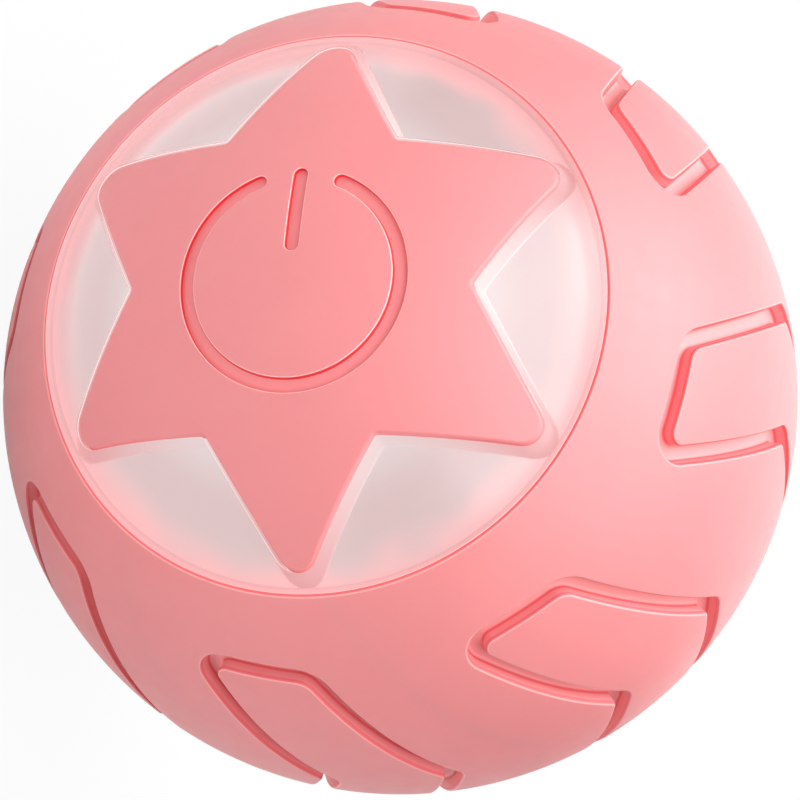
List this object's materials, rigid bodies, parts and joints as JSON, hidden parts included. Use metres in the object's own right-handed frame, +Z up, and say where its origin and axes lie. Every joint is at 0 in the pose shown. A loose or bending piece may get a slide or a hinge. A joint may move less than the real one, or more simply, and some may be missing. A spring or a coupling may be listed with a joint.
{
  "type": "self-rolling cat ball",
  "caption": "Self-rolling cat toy ball: treaded silicone cover on a hard shell, star push button, and a motor carriage that hangs inside and turns the shell.",
  "frame": {"origin": "centre of the ball", "axes": "+Z up, Y along the roll axis with the star button facing -Y and the charging port facing +Y, the power symbol's bar pointing to -X"},
  "size_m": [0.043, 0.0429, 0.043],
  "materials": {
    "cover_silicone": "satin",
    "star_plastic": "satin",
    "frosted_plastic": "frosted",
    "clear_plastic": "gloss",
    "white_plastic": "satin",
    "grey_plastic": "matt",
    "black_plastic": "matt",
    "seal_rubber": "matt",
    "steel": "satin",
    "brass": "satin",
    "cell_foil": "satin",
    "board_green": "satin",
    "lamp": "gloss",
    "wire_insulation": "satin"
  },
  "bodies": {
    "shell": {"tread_cover": "cover_silicone", "front_lens": "clear_plastic", "rear_lens": "clear_plastic", "front_shell": "frosted_plastic", "rear_shell": "frosted_plastic", "shell_seal": "seal_rubber", "ring_gear": "white_plastic", "ring_gear_screws": "steel", "rear_bush": "white_plastic", "button_spring": "steel"},
    "button": {"star_button": "star_plastic", "button_clip": "steel"},
    "carriage": {"chassis": "grey_plastic", "front_bush": "white_plastic", "gear_cover": "grey_plastic", "gear_cover_screws": "steel", "motor": "steel", "motor_screws": "steel", "idler_axle": "steel", "battery": "cell_foil", "battery_tape": "seal_rubber", "battery_tabs": "steel", "counterweight": "steel", "counterweight_screws": "steel", "main_board": "board_green", "board_screws": "steel", "controller_chip": "black_plastic", "board_parts": "black_plastic", "tact_switch": "black_plastic", "led_board": "board_green", "led_screws": "steel", "leds": "lamp", "led_pins": "brass", "usb_board": "board_green", "usb_socket": "steel", "hub_cap": "star_plastic", "hub_cap_screws": "steel", "usb_wires": "wire_insulation"},
    "idler": {"idler_gear": "white_plastic"},
    "rotor": {"motor_shaft": "steel", "motor_pinion": "brass"},
    "plunger": {"switch_plunger": "white_plastic"},
    "port_plug": {"port_plug": "cover_silicone"}
  },
  "joints": [
    {"name": "carriage_spin", "type": "hinge", "parent": "shell", "child": "carriage", "pos_m": [0, 0, 0], "axis": [0, 1, 0], "continuous": true},
    {"name": "idler_spin", "type": "hinge", "parent": "carriage", "child": "idler", "pos_m": [0.00426, 0.0083, -0.00793], "axis": [0, 1, 0], "continuous": true},
    {"name": "motor_spin", "type": "hinge", "parent": "carriage", "child": "rotor", "pos_m": [0, 0.0073, -0.0025], "axis": [0, 1, 0], "continuous": true},
    {"name": "button_press", "type": "slide", "parent": "shell", "child": "button", "axis": [0, 1, 0], "range_m": [0, 0.00045], "stiffness_N_per_m": 1500, "springref_m": -0.0008, "deforming": ["button_spring"]},
    {"name": "plunger_press", "type": "slide", "parent": "carriage", "child": "plunger", "axis": [0, 1, 0], "range_m": [0, 0.00045]},
    {"name": "plug_pull", "type": "slide", "parent": "carriage", "child": "port_plug", "axis": [0, 1, 0], "range_m": [0, 0.008]}
  ],
  "couplings": [
    {"joint": "idler_spin", "follows": "carriage_spin", "ratio": -6},
    {"joint": "motor_spin", "follows": "carriage_spin", "ratio": 21.6},
    {"joint": "plunger_press", "follows": "button_press", "ratio": 1}
  ]
}
